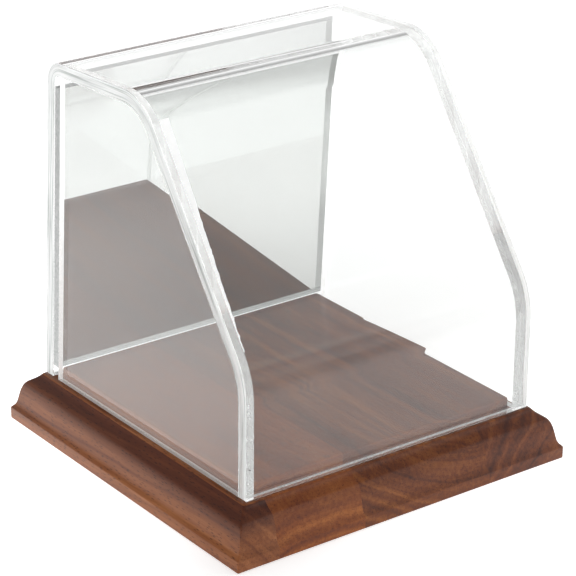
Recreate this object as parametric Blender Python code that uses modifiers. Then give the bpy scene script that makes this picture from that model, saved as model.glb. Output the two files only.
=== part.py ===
"""A slant-front acrylic display cover with a mirrored back, lifting off a moulded walnut base.

Units are metres, +Z is up, -Y is the sloping front, and the origin is the centre of the base's underside.
"""

import math

import bmesh
import bpy

# --- Sizes --------------------------------------------------------------------
CLEARANCE = 0.0003  # between pieces that touch

# Cover: one bent sheet (front lip, slope, top, back) closed by two flat sides.
COVER_WIDTH = 0.1524
COVER_DEPTH = 0.1548
SHEET = 0.0060
LIP_HEIGHT = 0.0543  # to the sharp corner that the lower bend rounds off
BACK_HEIGHT = 0.1511  # to the sharp corner that the rear bend rounds off
SLOPE_FROM_VERTICAL = math.radians(36.0)
TOP_RISE = math.radians(3.25)  # the top climbs towards the front
BACK_LEAN = math.radians(3.5)  # the back leans in towards the top
LOWER_BEND = 0.0360  # outer radii of the three bends
UPPER_BEND = 0.0260
REAR_BEND = 0.0105
BEND_STEPS = 14

# Mirror: full width, between the back wall and the rear edges of the sides.
MIRROR_THICKNESS = 0.0040
MIRROR_HEIGHT = 0.1342
MIRROR_ABOVE_PLATFORM = 0.0010
BOND = 0.0001  # film of cement behind the mirror

# Base: edge-glued staves with a moulded edge and a raised platform.
BASE_SIZE = 0.1778
LEDGE_HEIGHT = 0.0238
PLATFORM_TOP = 0.0290
PLATFORM_WIDTH = 0.1388
PLATFORM_FRONT = -0.0698
PLATFORM_BACK = 0.0664
PLATFORM_EDGE = 0.0008
STAVE_JOINTS = (-0.0677, -0.0229, 0.0456)
GLUE_LINE = 0.00012
# Moulding section, as (distance in from the base's outer edge, height).
MOULDING = (
    (0.01120, 0.0238),
    (0.01050, 0.0232),
    (0.00960, 0.0222),
    (0.00810, 0.0209),
    (0.00650, 0.0198),
    (0.00540, 0.0189),
    (0.00470, 0.0180),
    (0.00410, 0.0168),
    (0.00340, 0.0147),
    (0.00280, 0.0120),
    (0.00235, 0.0098),
    (0.00195, 0.0083),
    (0.00140, 0.0072),
    (0.00070, 0.0064),
    (0.00020, 0.0058),
    (0.00000, 0.0051),
    (0.00000, 0.0009),
    (0.00030, 0.0003),
    (0.00090, 0.0000),
)


# --- Scene helpers --------------------------------------------------------------
def clear_scene():
    for item in list(bpy.data.objects):
        bpy.data.objects.remove(item)


def collection(name):
    made = bpy.data.collections.new(name)
    bpy.context.scene.collection.children.link(made)
    return made


def material(name, colour, roughness, metallic=0.0, alpha=1.0):
    made = bpy.data.materials.new(name)
    made.use_nodes = True
    shader = made.node_tree.nodes["Principled BSDF"]
    shader.inputs["Base Color"].default_value = (*colour, 1.0)
    shader.inputs["Roughness"].default_value = roughness
    shader.inputs["Metallic"].default_value = metallic
    shader.inputs["Alpha"].default_value = alpha
    return made


def place(name, data, home, coat=None):
    made = bpy.data.objects.new(name, data)
    home.objects.link(made)
    if coat is not None:
        made.data.materials.append(coat)
    return made


def box_mesh(name, low, high):
    """A box between two opposite corners."""
    mesh = bpy.data.meshes.new(name)
    shape = bmesh.new()
    bmesh.ops.create_cube(shape, size=1.0)
    for vertex in shape.verts:
        for axis in range(3):
            middle = (low[axis] + high[axis]) / 2
            span = high[axis] - low[axis]
            vertex.co[axis] = middle + vertex.co[axis] * span
    shape.to_mesh(mesh)
    shape.free()
    return mesh


def cutter(name, mesh):
    made = place(name, mesh, CUTTERS)
    made.hide_render = True
    made.display_type = "WIRE"
    return made


def boolean(target, operation, other):
    modifier = target.modifiers.new(operation.title(), "BOOLEAN")
    modifier.operation = operation
    modifier.solver = "EXACT"
    modifier.object = other


def evaluated_mesh(source, name):
    """The shape of an object after its modifiers, as a mesh of its own."""
    graph = bpy.context.evaluated_depsgraph_get()
    return bpy.data.meshes.new_from_object(source.evaluated_get(graph), depsgraph=graph)


# --- Bent sheet outlines, as (y, z) points ---------------------------------------
def sheet_corners(inset):
    """Sharp corners of the cover's section, from the front foot to the back foot, moved inwards by inset."""
    foot = LEDGE_HEIGHT + CLEARANCE
    front = -COVER_DEPTH / 2
    lip_top = LEDGE_HEIGHT + LIP_HEIGHT
    back_top = LEDGE_HEIGHT + BACK_HEIGHT
    back = COVER_DEPTH / 2
    lean = math.tan(BACK_LEAN)
    rear_y = back - BACK_HEIGHT * lean
    # Each face as point and inward normal.
    lip = ((front, foot), (1.0, 0.0))
    sloped = ((front, lip_top), (math.cos(SLOPE_FROM_VERTICAL), -math.sin(SLOPE_FROM_VERTICAL)))
    top = ((rear_y, back_top), (-math.sin(TOP_RISE), -math.cos(TOP_RISE)))
    rear = ((back, LEDGE_HEIGHT), (-math.cos(BACK_LEAN), -math.sin(BACK_LEAN)))
    ground = ((0.0, foot), (0.0, 0.0))
    faces = (ground, lip, sloped, top, rear, ground)
    return [meet(faces[i], faces[i + 1], inset) for i in range(5)]


def meet(first, second, inset):
    """Where two faces cross once both have moved inwards by inset; a face with no normal is the foot, level and fixed."""
    lines = []
    for (y, z), (ny, nz) in (first, second):
        if ny == 0.0 and nz == 0.0:
            lines.append((0.0, 1.0, z))
        else:
            lines.append((ny, nz, ny * y + nz * z + inset))
    (a, b, c), (d, e, f) = lines
    determinant = a * e - b * d
    return ((c * e - b * f) / determinant, (a * f - c * d) / determinant)


def rounded(corners, radii):
    """The path through these corners with each inner one rounded to its radius; None leaves it sharp."""
    path = [corners[0]]
    for index in range(1, len(corners) - 1):
        radius = radii[index - 1]
        before, corner, after = corners[index - 1 : index + 2]
        if radius is None:
            path.append(corner)
            continue
        start = direction(corner, before)
        end = direction(corner, after)
        half = math.acos(start[0] * end[0] + start[1] * end[1]) / 2
        middle = ((start[0] + end[0]) / 2, (start[1] + end[1]) / 2)
        length = math.hypot(*middle)
        reach = radius / math.sin(half)
        centre = (corner[0] + middle[0] / length * reach, corner[1] + middle[1] / length * reach)
        tangent = radius / math.tan(half)
        first = (corner[0] + start[0] * tangent, corner[1] + start[1] * tangent)
        last = (corner[0] + end[0] * tangent, corner[1] + end[1] * tangent)
        from_angle = math.atan2(first[1] - centre[1], first[0] - centre[0])
        to_angle = math.atan2(last[1] - centre[1], last[0] - centre[0])
        turn = (to_angle - from_angle + math.pi) % (2 * math.pi) - math.pi
        for step in range(BEND_STEPS + 1):
            angle = from_angle + turn * step / BEND_STEPS
            path.append((centre[0] + radius * math.cos(angle), centre[1] + radius * math.sin(angle)))
    path.append(corners[-1])
    return path


def direction(start, end):
    length = math.hypot(end[0] - start[0], end[1] - start[1])
    return ((end[0] - start[0]) / length, (end[1] - start[1]) / length)


def upright_slab(name, outline, thickness, x_centre, coat):
    """A flat plate whose outline lies in the YZ plane, centred on x_centre."""
    curve = bpy.data.curves.new(name, "CURVE")
    curve.dimensions = "2D"
    curve.fill_mode = "BOTH"
    curve.extrude = thickness / 2
    spline = curve.splines.new("POLY")
    spline.points.add(len(outline) - 1)
    for point, (y, z) in zip(spline.points, outline):
        point.co = (y, z, 0.0, 1.0)
    spline.use_cyclic_u = True
    made = place(name, curve, PARTS, coat)
    made.location.x = x_centre
    made.rotation_euler = (math.radians(90), 0.0, math.radians(90))
    weld = made.modifiers.new("Weld", "WELD")
    weld.merge_threshold = 1e-6
    return made


# --- Cover ------------------------------------------------------------------------
def build_wrap(parent):
    outer = rounded(sheet_corners(0.0), (LOWER_BEND, UPPER_BEND, REAR_BEND))
    inner_radii = (LOWER_BEND - SHEET, UPPER_BEND - SHEET, REAR_BEND - SHEET)
    inner = rounded(sheet_corners(SHEET), inner_radii)
    made = upright_slab("cover_wrap", outer + inner[::-1], COVER_WIDTH, 0.0, ACRYLIC)
    made.parent = parent


def build_sides(parent):
    inset = SHEET + CLEARANCE
    corners = sheet_corners(inset)
    foot = sheet_corners(SHEET + BOND + MIRROR_THICKNESS + CLEARANCE)[4]
    lean = (-math.sin(BACK_LEAN), math.cos(BACK_LEAN))
    top_start = corners[2]
    top_along = direction(corners[2], corners[3])
    # Follow the rear edge up from the foot until it reaches the underside of the top.
    determinant = lean[0] * -top_along[1] + lean[1] * top_along[0]
    gap_y = top_start[0] - foot[0]
    gap_z = top_start[1] - foot[1]
    climb = (gap_y * -top_along[1] + gap_z * top_along[0]) / determinant
    rear_top = (foot[0] + lean[0] * climb, foot[1] + lean[1] * climb)
    radii = (LOWER_BEND - inset, UPPER_BEND - inset, None)
    outline = rounded([corners[0], corners[1], corners[2], rear_top, foot], radii)
    offset = (COVER_WIDTH - SHEET) / 2
    for name, x_centre in (("side_panel_left", -offset), ("side_panel_right", offset)):
        made = upright_slab(name, outline, SHEET, x_centre, ACRYLIC)
        made.parent = parent


def build_mirror(parent):
    """A flat plate that stands parallel to the back wall; its origin is on the lower rear edge."""
    low = PLATFORM_TOP + MIRROR_ABOVE_PLATFORM + MIRROR_THICKNESS * math.sin(BACK_LEAN)
    foot = sheet_corners(SHEET + BOND)[4]
    half = COVER_WIDTH / 2
    mesh = box_mesh("mirror_panel", (-half, -MIRROR_THICKNESS, 0.0), (half, 0.0, MIRROR_HEIGHT))
    made = place("mirror_panel", mesh, PARTS, MIRROR)
    made.location = (0.0, foot[0] - (low - foot[1]) * math.tan(BACK_LEAN), low)
    made.rotation_euler.x = BACK_LEAN
    made.parent = parent


# --- Base -------------------------------------------------------------------------
def moulded_blank():
    """The whole base before it is divided: a moulded square with the platform standing on it."""
    mesh = bpy.data.meshes.new("moulding_section")
    diagonal = math.sqrt(2.0)
    points = [(0.0, 0.0, LEDGE_HEIGHT)]
    for inset, height in MOULDING:
        points.append(((BASE_SIZE / 2 - inset) * diagonal, 0.0, height))
    points.append((0.0, 0.0, 0.0))
    edges = [(i, i + 1) for i in range(len(points) - 1)]
    mesh.from_pydata(points, edges, [])
    section = cutter("moulding_section", mesh)
    section.rotation_euler.z = math.radians(45)
    turn = section.modifiers.new("Screw", "SCREW")
    turn.steps = 4
    turn.render_steps = 4
    turn.use_merge_vertices = True
    turn.merge_threshold = 0.00001
    turn.use_smooth_shade = False
    turn.use_normal_calculate = True

    half = PLATFORM_WIDTH / 2
    low = (-half, PLATFORM_FRONT, LEDGE_HEIGHT - 0.004)
    high = (half, PLATFORM_BACK, PLATFORM_TOP)
    platform = cutter("platform", box_mesh("platform", low, high))
    ease = platform.modifiers.new("Bevel", "BEVEL")
    ease.width = PLATFORM_EDGE
    ease.segments = 3
    bpy.context.view_layer.update()

    blank = cutter("base_blank", evaluated_mesh(section, "base_blank"))
    blank.data.transform(section.matrix_world)
    outward(blank.data)
    boolean(blank, "UNION", platform)
    bpy.context.view_layer.update()
    whole = cutter("base_whole", evaluated_mesh(blank, "base_whole"))
    return whole


def outward(mesh):
    shape = bmesh.new()
    shape.from_mesh(mesh)
    bmesh.ops.recalc_face_normals(shape, faces=shape.faces)
    shape.to_mesh(mesh)
    shape.free()


def build_base():
    whole = moulded_blank()
    half = BASE_SIZE / 2 + 0.01
    cuts = (-half, *STAVE_JOINTS, half)
    root = None
    for index in range(4):
        low_x = cuts[index] + GLUE_LINE / 2
        high_x = cuts[index + 1] - GLUE_LINE / 2
        name = f"base_stave_{index + 1}"
        mesh = box_mesh(name, (low_x, -half, -0.01), (high_x, half, 0.05))
        made = place(name, mesh, PARTS, WALNUT)
        boolean(made, "INTERSECT", whole)
        if root is None:
            root = made
        else:
            made.parent = root
    return root


clear_scene()
PARTS = collection("acrylic_display_case")
CUTTERS = collection("cutters")
CUTTERS.hide_render = True
ACRYLIC = material("clear_acrylic", (0.93, 0.96, 0.94), 0.05, alpha=0.25)
MIRROR = material("mirror", (0.88, 0.89, 0.89), 0.03, metallic=1.0)
WALNUT = material("walnut", (0.16, 0.075, 0.042), 0.35)

base = build_base()
lift = bpy.data.objects.new("cover_lift", None)
PARTS.objects.link(lift)
lift.location = (0.0, 0.0, LEDGE_HEIGHT)
lift.parent = base
bpy.context.view_layer.update()
build_wrap(lift)
build_sides(lift)
build_mirror(lift)
for part in lift.children:
    part.matrix_parent_inverse = lift.matrix_world.inverted()
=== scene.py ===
import math
import random

import bmesh
import bpy
from mathutils import Matrix, Vector


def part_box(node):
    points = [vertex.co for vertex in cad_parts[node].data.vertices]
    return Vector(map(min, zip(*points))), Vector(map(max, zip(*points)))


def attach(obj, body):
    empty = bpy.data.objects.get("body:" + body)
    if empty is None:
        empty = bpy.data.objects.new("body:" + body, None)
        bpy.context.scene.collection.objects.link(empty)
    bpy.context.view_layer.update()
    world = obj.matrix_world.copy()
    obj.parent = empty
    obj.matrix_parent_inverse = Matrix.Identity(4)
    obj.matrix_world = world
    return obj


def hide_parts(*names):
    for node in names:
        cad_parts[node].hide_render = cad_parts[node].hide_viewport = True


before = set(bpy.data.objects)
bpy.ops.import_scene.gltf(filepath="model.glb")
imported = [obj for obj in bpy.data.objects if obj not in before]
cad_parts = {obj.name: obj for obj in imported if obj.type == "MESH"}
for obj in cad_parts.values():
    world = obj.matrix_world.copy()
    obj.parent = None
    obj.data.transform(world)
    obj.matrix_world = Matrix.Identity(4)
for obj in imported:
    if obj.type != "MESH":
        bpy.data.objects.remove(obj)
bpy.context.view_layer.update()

# --- Sizes, in metres -----------------------------------------------------------
WRAP_LOW, WRAP_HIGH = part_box("cover_wrap")
SIDE_LOW, SIDE_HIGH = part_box("side_panel_left")
HALF_W = WRAP_HIGH.x
HALF_D = WRAP_HIGH.y
FOOT = WRAP_LOW.z
LEDGE = FOOT - 0.0003  # the cover stands just clear of it
SHEET = SIDE_HIGH.x - SIDE_LOW.x
LIP_HEIGHT = 0.0543  # to the sharp corner that the lower bend rounds off
BACK_HEIGHT = 0.1511  # to the sharp corner that the rear bend rounds off
SLOPE = math.radians(36.0)  # the front, from vertical
RISE = math.radians(3.25)  # the top climbs towards the front
LEAN = math.radians(3.5)  # the back leans in towards the top
BENDS = (0.0360, 0.0260, 0.0105)  # outer radii: lower, upper and rear
BEND_STEPS = 40
WRAP_ARRIS = 0.00025
FOOT_ARRIS = 0.0005
SIDE_ARRIS = 0.0001
BOND = 0.00002  # each side sheet runs this far into the wrap, so that the joint is clear
SIDE_TO_MIRROR = 0.00006

MIRROR_THICKNESS = 0.0040
MIRROR_HEIGHT = 0.1342
MIRROR_ABOVE_PLATFORM = 0.0010
CEMENT_FILM = 0.0001  # behind the mirror
PAINT = 0.0002
PAINT_GAP = 0.00002

STAVE_BOXES = [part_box(f"base_stave_{number}") for number in (1, 2, 3, 4)]
GLUE_LINES = [(left[1].x + right[0].x) / 2 for left, right in zip(STAVE_BOXES, STAVE_BOXES[1:])]
HALF_GLUE_LINE = 0.00001
BASE_HALF = STAVE_BOXES[-1][1].x
PLATFORM_TOP = STAVE_BOXES[2][1].z
PLATFORM_HALF_W = 0.0694
PLATFORM_FRONT = -0.0698
PLATFORM_BACK = 0.0686  # under the mirror's lower edge
PLATFORM_ARRIS = 0.0008
PLATFORM_CORNER = 0.0012
# Moulding section, as (distance in from the base's outer edge, height).
MOULDING = (
    (0.01120, 0.0238),
    (0.01050, 0.0232),
    (0.00960, 0.0222),
    (0.00810, 0.0209),
    (0.00650, 0.0198),
    (0.00540, 0.0189),
    (0.00470, 0.0180),
    (0.00410, 0.0168),
    (0.00340, 0.0147),
    (0.00280, 0.0120),
    (0.00235, 0.0098),
    (0.00195, 0.0083),
    (0.00140, 0.0072),
    (0.00070, 0.0064),
    (0.00020, 0.0058),
    (0.00000, 0.0051),
    (0.00000, 0.0009),
    (0.00030, 0.0003),
    (0.00090, 0.0000),
)

# --- Colours ----------------------------------------------------------------------
WHITE = (1.0, 1.0, 1.0)
# Per stave, left to right: dark, middle and light tone, where its growth rings centre in XZ, and how far
# painted shade darkens its moulding beside the cover.
STAVES = (
    (((0.100, 0.022, 0.003), (0.200, 0.060, 0.015), (0.300, 0.110, 0.036)), (-0.150, -0.060), 0.86),
    (((0.068, 0.011, 0.001), (0.180, 0.042, 0.004), (0.300, 0.092, 0.015)), (-0.030, -0.110), 0.36),
    (((0.046, 0.008, 0.001), (0.130, 0.030, 0.003), (0.240, 0.074, 0.012)), (0.060, 0.120), 0.32),
    (((0.046, 0.008, 0.001), (0.124, 0.028, 0.004), (0.225, 0.068, 0.014)), (0.140, -0.070), 0.32),
)
# Colour that the painted shade on the moulding's shoulder multiplies in.
SHOULDER_PAINTED_SHADE = (0.24, 0.10, 0.03, 1.0)

# Sockets of a Mix node, which has one pair of inputs for each kind of data.
MIX_FLOATS = (2, 3)
MIX_COLOURS = (6, 7)
MIX_COLOUR_OUT = 2


# --- Node helpers -------------------------------------------------------------------
def new_material(name, settings):
    """A material, its node tree and its shader, with these values on the shader's sockets."""
    made = bpy.data.materials.new(name)
    made.use_nodes = True
    shader = made.node_tree.nodes["Principled BSDF"]
    for key, value in settings.items():
        shader.inputs[key].default_value = value
    return made, made.node_tree, shader


def node(tree, kind, feeds=(), **settings):
    """A new node. Each setting is an input's value or an attribute, and feeds are (input, source) pairs."""
    made = tree.nodes.new(kind)
    for key, value in settings.items():
        if key in made.inputs:
            made.inputs[key].default_value = value
        else:
            setattr(made, key, value)
    for key, source in feeds:
        tree.links.new(source, made.inputs[key])
    return made


def ramp(tree, factor, stops):
    made = tree.nodes.new("ShaderNodeValToRGB")
    while len(made.color_ramp.elements) < len(stops):
        made.color_ramp.elements.new(0.5)
    for element, (place, colour) in zip(made.color_ramp.elements, stops):
        element.position = place
        element.color = (*colour, 1.0)
    tree.links.new(factor, made.inputs["Fac"])
    return made.outputs["Color"]


def vector_math(tree, operation, vector, other):
    """The vector combined with another one, which is a socket or a constant."""
    made = node(tree, "ShaderNodeVectorMath", [(0, vector)], operation=operation)
    if isinstance(other, bpy.types.NodeSocket):
        tree.links.new(other, made.inputs[1])
    else:
        made.inputs[1].default_value = other
    return made.outputs["Value" if operation in ("DOT_PRODUCT", "DISTANCE") else "Vector"]


def noise(tree, vector, detail, roughness):
    return node(
        tree, "ShaderNodeTexNoise", [("Vector", vector)], Scale=1.0, Detail=detail, Roughness=roughness
    ).outputs


def blend(tree, share, first, second):
    """Two values mixed, with this share of the second."""
    made = node(tree, "ShaderNodeMix", zip(MIX_FLOATS, (first, second)), data_type="FLOAT")
    made.inputs[0].default_value = share
    return made.outputs[0]


def scale_and_add(tree, value, factor, added):
    made = node(tree, "ShaderNodeMath", [(0, value), (2, added)], operation="MULTIPLY_ADD")
    made.inputs[1].default_value = factor
    return made.outputs[0]


def smooth_step(tree, value, start, end, low, high):
    """From low to high as the value goes from start to end."""
    made = node(tree, "ShaderNodeMapRange", [("Value", value)], interpolation_type="SMOOTHSTEP")
    for key, setting in (("From Min", start), ("From Max", end), ("To Min", low), ("To Max", high)):
        made.inputs[key].default_value = setting
    return made.outputs["Result"]


# --- Materials ----------------------------------------------------------------------
def cut_edge(name, level, dark=0.74, streaks=False, glow=0.0):
    """Sawn and scraped acrylic: frosted and pale, with fine marks. Streaks makes them run along the edge."""
    made, tree, shader = new_material(
        name,
        {
            "IOR": 1.49,
            "Transmission Weight": 0.55,
            "Roughness": 0.34,
            # A glow above zero is painted light: an emission that brightens the edge.
            "Emission Color": (*WHITE, 1.0),
            "Emission Strength": glow,
        },
    )
    coords = node(tree, "ShaderNodeTexCoord").outputs["UV" if streaks else "Object"]
    marks_scale = (24.0, 1100.0, 1.0) if streaks else (900.0, 900.0, 900.0)
    marks = noise(tree, vector_math(tree, "MULTIPLY", coords, marks_scale), 3.0, 0.6)["Fac"]
    tones = ((dark, dark + 0.03, dark + 0.01), (0.84, 0.86, 0.85), WHITE)
    stops = [
        (place, tuple(level * share for share in tone)) for place, tone in zip((0.38, 0.50, 0.62), tones)
    ]
    tree.links.new(ramp(tree, marks, stops), shader.inputs["Base Color"])
    ripple = noise(tree, vector_math(tree, "MULTIPLY", coords, (260.0, 120.0, 1.0)), 2.0, 0.5)["Fac"]
    height = blend(tree, 0.35, ripple, marks)
    bump = node(tree, "ShaderNodeBump", [("Height", height)], Strength=0.35, Distance=0.0004)
    tree.links.new(bump.outputs["Normal"], shader.inputs["Normal"])
    return made


def backing_paint():
    made, tree, shader = new_material("mirror_backing_paint", {"Roughness": 0.55})
    coords = node(tree, "ShaderNodeTexCoord").outputs["Object"]
    mottle = node(tree, "ShaderNodeTexNoise", [("Vector", coords)], Scale=260.0, Detail=4.0)
    grey = ramp(tree, mottle.outputs["Fac"], ((0.3, (0.30, 0.31, 0.32)), (0.7, (0.36, 0.37, 0.38))))
    tree.links.new(grey, shader.inputs["Base Color"])
    return made


def growth_rings(tree, place):
    """Wandering rings round an axis along Y, and the wandered place itself."""
    wander = noise(tree, vector_math(tree, "MULTIPLY", place, (14.0, 3.0, 14.0)), 4.0, 0.55)["Color"]
    spread = node(tree, "ShaderNodeVectorMath", [(0, wander)], operation="SCALE", Scale=0.018).outputs[0]
    warped = vector_math(tree, "ADD", place, spread)
    across = vector_math(tree, "MULTIPLY", warped, (1.0, 0.02, 1.0))
    radius = node(tree, "ShaderNodeVectorMath", [(0, across)], operation="LENGTH").outputs["Value"]
    turns = node(tree, "ShaderNodeMath", [(0, radius)], operation="MULTIPLY")
    turns.inputs[1].default_value = 210.0
    rings = node(tree, "ShaderNodeTexNoise", noise_dimensions="1D", Scale=1.0, Detail=3.0, Roughness=0.6)
    tree.links.new(turns.outputs[0], rings.inputs["W"])
    return rings.outputs["Fac"], warped


def painted_shoulder_shade(tree, height, patches, most):
    """How much painted shade darkens the wood on the moulding's shoulder, up to most. The platform gets none.
    """
    band_low, band_high = 0.0160, 0.0262
    raggedness = 0.012
    margin = 0.0004
    uneven = scale_and_add(tree, patches, raggedness, height)
    band = smooth_step(tree, uneven, band_low, band_high, 0.0, most)
    above = node(tree, "ShaderNodeMath", [(0, height)], operation="GREATER_THAN")
    above.inputs[1].default_value = LEDGE - margin
    share = node(tree, "ShaderNodeMix", [(0, above.outputs[0]), (MIX_FLOATS[0], band)], data_type="FLOAT")
    share.inputs[MIX_FLOATS[1]].default_value = 0.0
    return share.outputs[0]


def walnut(number, tones, ring_centre, shoulder):
    """Lacquered walnut as a solid texture: long grain on the sides, end grain on the front and back."""
    made, tree, shader = new_material(
        f"walnut_{number}",
        {
            "Roughness": 0.5,
            "Specular IOR Level": 0.08,
            "Coat Weight": 0.48,
            "Coat Roughness": 0.2,
            "Coat IOR": 1.5,
        },
    )
    coords = node(tree, "ShaderNodeTexCoord").outputs["Object"]
    place = vector_math(tree, "ADD", coords, (-ring_centre[0], number * 0.37, -ring_centre[1]))
    rings, warped = growth_rings(tree, place)
    patches = noise(tree, vector_math(tree, "MULTIPLY", place, (34.0, 7.0, 34.0)), 3.0, 0.5)["Fac"]
    fibre = noise(tree, vector_math(tree, "MULTIPLY", warped, (620.0, 38.0, 620.0)), 2.5, 0.6)["Fac"]
    figure = blend(tree, 0.28, blend(tree, 0.42, rings, patches), fibre)
    figured = ramp(tree, figure, tuple(zip((0.34, 0.50, 0.66), tones)))

    # Open pores: short dark dashes on long grain, dots on end grain.
    pore_place = vector_math(tree, "MULTIPLY", place, (1500.0, 240.0, 1500.0))
    pores = node(tree, "ShaderNodeTexVoronoi", [("Vector", pore_place)], Scale=1.0, Randomness=1.0)
    pore_mask = ramp(tree, pores.outputs["Distance"], ((0.14, (0.16, 0.12, 0.10)), (0.30, WHITE)))
    feeds = zip(MIX_COLOURS, (figured, pore_mask))
    grained = node(tree, "ShaderNodeMix", feeds, data_type="RGBA", blend_type="MULTIPLY")
    grained.inputs[0].default_value = 0.9

    # Painted shade: a ragged band of the moulding's shoulder beside the cover is darkened toward a dark
    # red-brown.
    split = node(tree, "ShaderNodeSeparateXYZ", [(0, coords)])
    share = painted_shoulder_shade(tree, split.outputs["Z"], patches, shoulder)
    feeds = [(0, share), (MIX_COLOURS[0], grained.outputs[MIX_COLOUR_OUT])]
    shaded = node(tree, "ShaderNodeMix", feeds, data_type="RGBA", blend_type="MULTIPLY")
    shaded.inputs[MIX_COLOURS[1]].default_value = SHOULDER_PAINTED_SHADE
    tree.links.new(shaded.outputs[MIX_COLOUR_OUT], shader.inputs["Base Color"])

    relief = scale_and_add(tree, fibre, 0.5, pore_mask)
    bump = node(tree, "ShaderNodeBump", [("Height", relief)], Strength=0.2, Distance=0.0001)
    for socket in ("Normal", "Coat Normal"):
        tree.links.new(bump.outputs["Normal"], shader.inputs[socket])
    return made


CLEAR, _, _ = new_material(
    "acrylic_polished",
    {"Base Color": (0.985, 0.992, 0.988, 1.0), "Roughness": 0.0, "IOR": 1.49, "Transmission Weight": 1.0},
)
# Painted light: the right edge is a brighter copy of the left edge's finish, with a painted glow.
SAWN_LEFT = cut_edge("acrylic_sawn_edge_left", 0.84, dark=0.40, streaks=True)
SAWN_RIGHT_PAINTED_LIGHT = cut_edge("acrylic_sawn_edge_right_painted_light", 1.0, dark=0.40, streaks=True, glow=0.26)
FOOT_CUT = cut_edge("acrylic_foot_edge", 0.80)
MIRROR_CUT = cut_edge("mirror_edge", 0.84)
# Painted light: the side panels' rear edges get a painted glow.
REAR_CUT_PAINTED_GLOW = cut_edge("acrylic_rear_edge_painted_glow", 1.0, glow=0.26)
SILVER, _, _ = new_material(
    "mirror_silver", {"Base Color": (0.63, 0.64, 0.63, 1.0), "Metallic": 1.0, "Roughness": 0.0}
)
SPECK_WHITE, _, _ = new_material("cement_bubble", {"Base Color": (0.95, 0.95, 0.94, 1.0), "Roughness": 0.4})
SPECK_DARK, _, _ = new_material("cement_speck", {"Base Color": (0.03, 0.03, 0.03, 1.0), "Roughness": 0.5})
# Whitened cement, which is real, with a weak painted glow: its emission is painted light.
HAZE_AND_PAINTED_GLOW, _, _ = new_material(
    "cement_haze_painted_glow",
    {
        "Base Color": (*WHITE, 1.0),
        "Roughness": 0.35,
        "Transmission Weight": 0.25,
        "Emission Color": (*WHITE, 1.0),
        "Emission Strength": 0.1,
    },
)
BACKING = backing_paint()


# --- Geometry helpers ---------------------------------------------------------------
def corners(inset):
    """Sharp corners of the cover's section moved in by inset, as (y, z), from front foot to back foot."""
    slope_y, slope_z = math.cos(SLOPE), -math.sin(SLOPE)
    top_y, top_z = -math.sin(RISE), -math.cos(RISE)
    back_y, back_z = -math.cos(LEAN), -math.sin(LEAN)
    rear_y = HALF_D - BACK_HEIGHT * math.tan(LEAN)
    # Each face as a, b and c of a*y + b*z = c.
    faces = (
        (0.0, 1.0, FOOT),
        (1.0, 0.0, -HALF_D + inset),
        (slope_y, slope_z, slope_y * -HALF_D + slope_z * (LEDGE + LIP_HEIGHT) + inset),
        (top_y, top_z, top_y * rear_y + top_z * (LEDGE + BACK_HEIGHT) + inset),
        (back_y, back_z, back_y * HALF_D + back_z * LEDGE + inset),
        (0.0, 1.0, FOOT),
    )
    found = []
    for (a, b, c), (d, e, f) in zip(faces, faces[1:]):
        scale = a * e - b * d
        found.append(Vector(((c * e - b * f) / scale, (a * f - c * d) / scale)))
    return found


def rounded(points, radii):
    """The path through these points with each inner one rounded to its radius; None leaves it sharp."""
    path = [points[0].copy()]
    for before, corner, after, radius in zip(points, points[1:], points[2:], radii):
        if radius is None:
            path.append(corner.copy())
            continue
        back = (before - corner).normalized()
        ahead = (after - corner).normalized()
        half = back.angle(ahead) / 2
        centre = corner + (back + ahead).normalized() * radius / math.sin(half)
        first = corner + back * radius / math.tan(half) - centre
        last = corner + ahead * radius / math.tan(half) - centre
        sweep = math.atan2(first.x * last.y - first.y * last.x, first.dot(last))
        for step in range(BEND_STEPS + 1):
            path.append(centre + Matrix.Rotation(sweep * step / BEND_STEPS, 2) @ first)
    path.append(points[-1].copy())
    return path


def offset_loop(points, inset):
    """A closed outline moved inwards by inset, corner by corner."""
    count = len(points)
    area = sum(points[i - 1].x * points[i].y - points[i].x * points[i - 1].y for i in range(count))
    moved = []
    for i in range(count):
        first = (points[i] - points[i - 1]).normalized()
        second = (points[(i + 1) % count] - points[i]).normalized()
        mean = Vector((-first.y - second.y, first.x + second.x)) * math.copysign(1.0, area)
        moved.append(points[i] + mean * inset * 2 / max(mean.length_squared, 0.5))
    return moved


def mesh_object(name, bm, materials, smooth_angle=30.0):
    """An object from the mesh, shaded smooth up to this angle in degrees; None leaves it flat."""
    bmesh.ops.recalc_face_normals(bm, faces=bm.faces)
    mesh = bpy.data.meshes.new(name)
    bm.to_mesh(mesh)
    bm.free()
    for item in materials:
        mesh.materials.append(item)
    made = bpy.data.objects.new(name, mesh)
    bpy.context.scene.collection.objects.link(made)
    if smooth_angle:
        mesh.shade_smooth()
        mesh.set_sharp_from_angle(angle=math.radians(smooth_angle))
    return made


def skin(bm, first, second):
    """The quads between two closed rings with the same number of points, in order."""
    turned = zip(first, first[1:] + first[:1], second[1:] + second[:1], second)
    return [bm.faces.new(quad) for quad in turned]


def bent_flat(bm, uv, ring, outline, bent, material):
    """One sawn flat of a bent sheet, as quads across it with a UV map of (length along, depth).

    The ring has bent outer points, two at the rear foot, bent inner points and two at the front foot.
    """
    rear_foot = ring[bent - 1 : bent + 3]
    front_foot = ring[-3:] + ring[:1]
    for foot in (rear_foot, front_foot):
        bm.faces.new(foot).material_index = material
    along = 0.0
    for i in range(bent - 1):
        end = along + (outline[i + 1] - outline[i]).length
        face = bm.faces.new((ring[i], ring[i + 1], ring[-4 - i], ring[-3 - i]))
        face.material_index = material
        for loop, place in zip(face.loops, ((along, 0.0), (end, 0.0), (end, SHEET), (along, SHEET))):
            loop[uv].uv = place
        along = end


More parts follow.
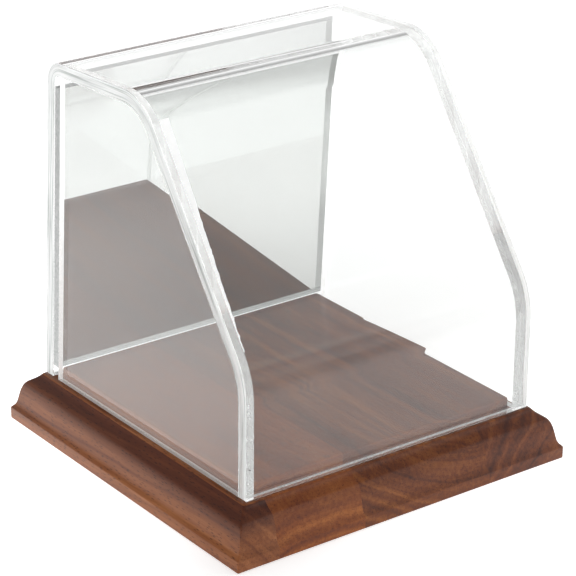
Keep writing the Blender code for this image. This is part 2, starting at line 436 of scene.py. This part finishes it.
def plate(name, outline, x_low, x_high, materials, arris, rim_material, bent=0):
    """A closed plate between two X planes, with its outline in YZ and its arrises eased.

    rim_material(i) picks the material of the rim from point i to the next. Materials 2 and 3 are the low and
    high flats. With bent, the outline is that of a bent sheet, in the order that bent_flat gives.
    """
    bm = bmesh.new()
    uv = bm.loops.layers.uv.new("UVMap")
    eased = offset_loop(outline, arris)
    sections = ((x_low, eased), (x_low + arris, outline), (x_high - arris, outline), (x_high, eased))
    rings = [[bm.verts.new((x, p.x, p.y)) for p in loop] for x, loop in sections]
    for first, second in zip(rings, rings[1:]):
        for i, face in enumerate(skin(bm, first, second)):
            face.material_index = rim_material(i)
    for ring, material in ((rings[0], 2), (rings[-1], 3)):
        if bent:
            bent_flat(bm, uv, ring, outline, bent, material)
        else:
            bm.faces.new(ring).material_index = material
    return mesh_object(name, bm, materials)


# --- Cover --------------------------------------------------------------------------
def wrap_sheet():
    """The bent sheet, with frosted arrises along its two feet."""
    outer = rounded(corners(0.0), BENDS)
    inner = rounded(corners(SHEET), [radius - SHEET for radius in BENDS])
    for path in (outer, inner):
        path[0].y += FOOT_ARRIS
        path[-1].y += FOOT_ARRIS
    rear_foot = [Vector((outer[-1].x - FOOT_ARRIS, FOOT)), Vector((inner[-1].x + FOOT_ARRIS, FOOT))]
    front_foot = [Vector((inner[0].x - FOOT_ARRIS, FOOT)), Vector((outer[0].x + FOOT_ARRIS, FOOT))]
    section = outer + rear_foot + inner[::-1] + front_foot
    arrises = {len(outer) - 1, len(outer) + 1, len(section) - 3, len(section) - 1}
    wrap = plate(
        "wrap_sheet",
        section,
        -HALF_W,
        HALF_W,
        [CLEAR, FOOT_CUT, SAWN_LEFT, SAWN_RIGHT_PAINTED_LIGHT],
        WRAP_ARRIS,
        lambda i: int(i in arrises),
        bent=len(outer),
    )
    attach(wrap, "cover")
    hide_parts("cover_wrap")
    return wrap


def side_outline():
    """From the front foot over the slope and the top, then down the rear edge just in front of the mirror."""
    inset = SHEET - BOND
    near = corners(inset)
    rear_foot = corners(SHEET + CEMENT_FILM + MIRROR_THICKNESS + SIDE_TO_MIRROR)[4]
    up = Vector((-math.sin(LEAN), math.cos(LEAN)))
    along = (near[3] - near[2]).normalized()
    gap = near[2] - rear_foot
    climb = (gap.y * along.x - gap.x * along.y) / (up.y * along.x - up.x * along.y)
    points = [near[0], near[1], near[2], rear_foot + up * climb, rear_foot]
    return rounded(points, (BENDS[0] - inset, BENDS[1] - inset, None))


def side_sheets():
    outline = side_outline()
    rear = len(outline) - 2
    foot = len(outline) - 1
    materials = [CLEAR, FOOT_CUT, CLEAR, CLEAR, REAR_CUT_PAINTED_GLOW]
    panels = []
    for name, low in (("side_panel_left", -HALF_W), ("side_panel_right", HALF_W - SHEET)):
        panel = plate(
            name.replace("side_panel", "side_sheet"),
            outline,
            low,
            low + SHEET,
            materials,
            SIDE_ARRIS,
            lambda i: {rear: 4, foot: 1}.get(i, 0),
        )
        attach(panel, "cover")
        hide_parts(name)
        panels.append(panel)
    return panels


def cement_specks():
    """Bubbles and specks in the cement between the left panel's front edge and the lip."""
    chance = random.Random(7)
    depth = 0.00012
    lip_face = -HALF_D + SHEET
    stand_off = 0.00016
    bm = bmesh.new()
    for index in range(46):
        z = LEDGE + 0.004 + chance.random() ** 1.6 * (LIP_HEIGHT - 0.010)
        x = -HALF_W + 0.0004 + chance.random() ** 2 * 0.0046
        width = depth + 0.00030 * chance.random() ** 2
        radii = Vector((width, depth, width * (0.8 + 1.6 * chance.random())))
        centre = Vector((x, lip_face + stand_off, z))
        speck = bmesh.ops.create_icosphere(bm, subdivisions=2, radius=1.0)
        for vert in speck["verts"]:
            vert.co = centre + vert.co * radii
            for face in vert.link_faces:
                face.material_index = int(index % 4 == 0)
    made = mesh_object("cement_specks_left", bm, [SPECK_WHITE, SPECK_DARK])
    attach(made, "cover")


def cement_run():
    """A run of whitened cement on the slope's inner face beside the left panel, widest at the upper bend."""
    chance = random.Random(11)
    count = 120
    thickness = 0.00004
    panel_face = -HALF_W + SHEET
    _, start, end, _, _ = corners(SHEET - BOND)
    along = (end - start).normalized()
    inward = Vector((along.y, -along.x))
    # It leaves both bends clear by 0.3 of their radius.
    first = BENDS[0] * 0.30
    reach = (end - start).length - (BENDS[0] + BENDS[1]) * 0.30
    bm = bmesh.new()
    rows = ([], [])
    wobble = 0.0
    for i in range(count + 1):
        share = i / count
        wobble = 0.55 * wobble + 0.00030 * (chance.random() - 0.5)
        rough = wobble + (0.0005 * chance.random() if chance.random() > 0.82 else 0.0)
        width = 0.0004 + 0.0042 * share**1.1 + rough * (1.0 - 0.5 * share)
        for row, lift in zip(rows, (BOND, BOND + thickness)):
            p = start + along * (first + reach * share) + inward * lift
            xs = (panel_face, panel_face + max(width, 0.0002))
            row.append([bm.verts.new((x, p.x, p.y)) for x in xs])
    low, high = rows
    for i in range(count):
        for row in rows:
            bm.faces.new((row[i][0], row[i + 1][0], row[i + 1][1], row[i][1]))
        for side in (0, 1):
            bm.faces.new((low[i][side], low[i + 1][side], high[i + 1][side], high[i][side]))
    for i in (0, count):
        bm.faces.new((low[i][0], low[i][1], high[i][1], high[i][0]))
    made = mesh_object("cement_run_left", bm, [HAZE_AND_PAINTED_GLOW], smooth_angle=None)
    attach(made, "cover")


# --- Mirror -------------------------------------------------------------------------
def leaning_box(name, inset, thickness, low, height, half_width, materials, pick):
    """A box parallel to the back wall, whose rear face is this far inside the wall's outer face.

    pick gives each face's material from its normal before the box leans.
    """
    foot = corners(inset)[4]
    lean = Matrix.Rotation(LEAN, 4, "X")
    origin = Vector((0.0, foot.x - (low - foot.y) * math.tan(LEAN), low))
    bm = bmesh.new()
    for vert in bmesh.ops.create_cube(bm, size=1.0)["verts"]:
        x, y, z = vert.co
        vert.co = lean @ Vector((x * 2 * half_width, (y - 0.5) * thickness, (z + 0.5) * height)) + origin
    bm.normal_update()
    for face in bm.faces:
        face.material_index = pick(lean.inverted() @ face.normal)
    return mesh_object(name, bm, materials, smooth_angle=None)


def mirror():
    """A clear sheet, silvered behind, with frosted edges and a coat of paint over the silver."""
    low = PLATFORM_TOP + MIRROR_ABOVE_PLATFORM + MIRROR_THICKNESS * math.sin(LEAN)
    coat = PAINT + PAINT_GAP
    side_gap = 0.00005
    paint_margin = 0.0002
    sheet = leaning_box(
        "mirror_sheet",
        SHEET + CEMENT_FILM + coat,
        MIRROR_THICKNESS - coat,
        low,
        MIRROR_HEIGHT,
        HALF_W - side_gap,
        [CLEAR, MIRROR_CUT, SILVER],
        lambda normal: 2 if normal.y > 0.9 else int(normal.y >= -0.9),
    )
    backing = leaning_box(
        "mirror_backing",
        SHEET + CEMENT_FILM,
        PAINT,
        low + paint_margin,
        MIRROR_HEIGHT - 2 * paint_margin,
        HALF_W - paint_margin,
        [BACKING],
        lambda normal: 0,
    )
    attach(sheet, "cover")
    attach(backing, "cover")
    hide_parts("mirror_panel")


# --- Base ---------------------------------------------------------------------------
def smooth_profile(points, steps):
    """Catmull-Rom curve through the section's points."""
    points = [Vector(p) for p in points]
    points = [2 * points[0] - points[1], *points, 2 * points[-1] - points[-2]]
    curve = []
    for a, b, c, d in zip(points, points[1:], points[2:], points[3:]):
        for step in range(steps):
            t = step / steps
            bend = (2 * a - 5 * b + 4 * c - d) * t * t + (3 * b - a - 3 * c + d) * t**3
            curve.append(0.5 * (2 * b + (c - a) * t + bend))
    curve.append(points[-2])
    return curve


def rectangle(bm, x_half, y_low, y_high, z, radius):
    """A level ring of points with rounded corners."""
    steps = 5
    right = x_half - radius
    front = y_low + radius
    rear = y_high - radius
    ring = []
    for x, y, start in ((right, rear, 0), (-right, rear, 90), (-right, front, 180), (right, front, 270)):
        for i in range(steps + 1):
            angle = math.radians(start + 90.0 * i / steps)
            ring.append(bm.verts.new((x + radius * math.cos(angle), y + radius * math.sin(angle), z)))
    return ring


def base_blank():
    """The whole base before it is divided: moulding, ledge and platform."""
    bm = bmesh.new()
    rings = []
    for inset, z in reversed(smooth_profile(MOULDING, 4)):
        half = BASE_HALF - max(inset, 0.0)
        radius = 0.0006 + 0.0004 * min(1.0, inset / 0.006)
        rings.append(rectangle(bm, half, -half, half, max(z, 0.0), radius))

    def platform_ring(shrink, z, radius):
        front = PLATFORM_FRONT + shrink
        rear = PLATFORM_BACK - shrink
        return rectangle(bm, PLATFORM_HALF_W - shrink, front, rear, z, radius)

    fillet = 0.0003
    rings.append(platform_ring(-fillet, LEDGE, PLATFORM_CORNER))
    rings.append(platform_ring(0.0, LEDGE + fillet, 0.0010))
    for i in range(7):
        angle = math.radians(15.0 * i)
        shrink = PLATFORM_ARRIS * (1 - math.cos(angle))
        z = PLATFORM_TOP - PLATFORM_ARRIS + PLATFORM_ARRIS * math.sin(angle)
        rings.append(platform_ring(shrink, z, PLATFORM_CORNER))
    for first, second in zip(rings, rings[1:]):
        skin(bm, first, second)
    bm.faces.new(rings[0])
    bm.faces.new(rings[-1])
    bmesh.ops.recalc_face_normals(bm, faces=bm.faces)
    return bm


def slice_off(bm, x, side):
    """Cuts away what lies beyond x on this side, and closes the cut."""
    everything = bm.verts[:] + bm.edges[:] + bm.faces[:]
    bmesh.ops.bisect_plane(
        bm, geom=everything, plane_co=(x, 0, 0), plane_no=(side, 0, 0), clear_outer=True, dist=1e-7
    )
    bmesh.ops.edgeloop_fill(bm, edges=[edge for edge in bm.edges if edge.is_boundary])


def staves():
    for index, (tones, ring_centre, shoulder) in enumerate(STAVES):
        number = index + 1
        bm = base_blank()
        if index > 0:
            slice_off(bm, GLUE_LINES[index - 1] + HALF_GLUE_LINE, -1.0)
        if index < len(GLUE_LINES):
            slice_off(bm, GLUE_LINES[index] - HALF_GLUE_LINE, 1.0)
        wood = walnut(number, tones, ring_centre, shoulder)
        stave = mesh_object(f"stave_{number}", bm, [wood], smooth_angle=32.0)
        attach(stave, "base")
        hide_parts(f"base_stave_{number}")


# --- Studio -------------------------------------------------------------------------
def stage_floor():
    """A pale floor that gives off soft light, more to the rear right and in two wide pools."""
    settings = {
        "Base Color": (0.80, 0.80, 0.80, 1.0),
        "Roughness": 0.9,
        "Specular IOR Level": 0.1,
        "Emission Color": (*WHITE, 1.0),
    }
    made, tree, shader = new_material("floor", settings)
    coords = node(tree, "ShaderNodeTexCoord").outputs["Object"]
    reach = vector_math(tree, "DOT_PRODUCT", coords, (0.60, 0.80, 0.0))
    glow = smooth_step(tree, reach, 0.02, 0.30, 0.49, 0.61)
    for centre, edge, core, extra in (
        ((-0.21, 0.12, 0.0), 0.26, 0.10, 0.70),
        ((0.15, -0.16, 0.0), 0.24, 0.08, 0.44),
    ):
        away = vector_math(tree, "DISTANCE", coords, centre)
        pool = smooth_step(tree, away, edge, core, 0.0, extra)
        glow = node(tree, "ShaderNodeMath", [(0, glow), (1, pool)], operation="ADD").outputs[0]
    tree.links.new(glow, shader.inputs["Emission Strength"])
    bm = bmesh.new()
    bmesh.ops.create_grid(bm, x_segments=1, y_segments=1, size=4.0)
    floor = mesh_object("floor", bm, [made], smooth_angle=None)


def studio_light():
    """A soft room: pale at the horizon, dimmer overhead, with three wide soft lights."""
    world = bpy.data.worlds.new("studio")
    bpy.context.scene.world = world
    world.use_nodes = True
    tree = world.node_tree
    background = tree.nodes["Background"]
    direction = node(tree, "ShaderNodeTexCoord").outputs["Generated"]
    height = node(tree, "ShaderNodeSeparateXYZ", [(0, direction)]).outputs["Z"]
    greys = ((0.0, 1.4), (0.12, 1.30), (0.42, 0.42), (1.0, 0.46))
    light = ramp(tree, height, [(place, (grey, grey, grey)) for place, grey in greys])
    for towards, edge, core, strength in (
        ((0.60, -0.62, 0.50), 0.93, 0.975, 0.85),
        ((1.00, 0.10, 0.22), 0.80, 0.92, 1.5),
        ((-1.00, -0.25, 0.20), 0.80, 0.92, 1.3),
    ):
        facing = vector_math(tree, "DOT_PRODUCT", direction, Vector(towards).normalized())
        patch = smooth_step(tree, facing, edge, core, 0.0, strength)
        feeds = zip(MIX_COLOURS, (light, patch))
        added = node(tree, "ShaderNodeMix", feeds, data_type="RGBA", blend_type="ADD")
        added.inputs[0].default_value = 1.0
        light = added.outputs[MIX_COLOUR_OUT]
    tree.links.new(light, background.inputs["Color"])
    background.inputs["Strength"].default_value = 1.0


def camera():
    data = bpy.data.cameras.new("camera")
    data.lens = 160.2
    data.sensor_width = 36.0
    data.clip_start = 0.01
    data.clip_end = 50.0
    made = bpy.data.objects.new("camera", data)
    bpy.context.scene.collection.objects.link(made)
    eye = Vector((-0.619686, -0.827272, 0.518651))
    yaw = math.radians(36.926)
    pitch = math.radians(-23.306)
    roll = math.radians(0.525)
    forward = Vector((math.sin(yaw) * math.cos(pitch), math.cos(yaw) * math.cos(pitch), math.sin(pitch)))
    right = Vector((math.cos(yaw), -math.sin(yaw), 0.0))
    above = right.cross(forward)
    across = right * math.cos(roll) + above * math.sin(roll)
    upward = -right * math.sin(roll) + above * math.cos(roll)
    turn = Matrix((across, upward, -forward)).transposed().to_4x4()
    made.matrix_world = Matrix.Translation(eye) @ turn
    bpy.context.scene.camera = made


clear_pieces = [wrap_sheet(), *side_sheets()]
cement_specks()
cement_run()
mirror()
staves()
stage_floor()
studio_light()
camera()

# Light passes many acrylic faces before it reaches the wood, and clear acrylic casts almost no shadow.
scene = bpy.context.scene
scene.view_settings.view_transform = "Standard"
scene.cycles.max_bounces = 96
scene.cycles.transmission_bounces = 96
scene.cycles.glossy_bounces = 48
scene.cycles.transparent_max_bounces = 16
for piece in clear_pieces:
    piece.visible_shadow = False
    piece.visible_diffuse = False

bpy.context.view_layer.update()
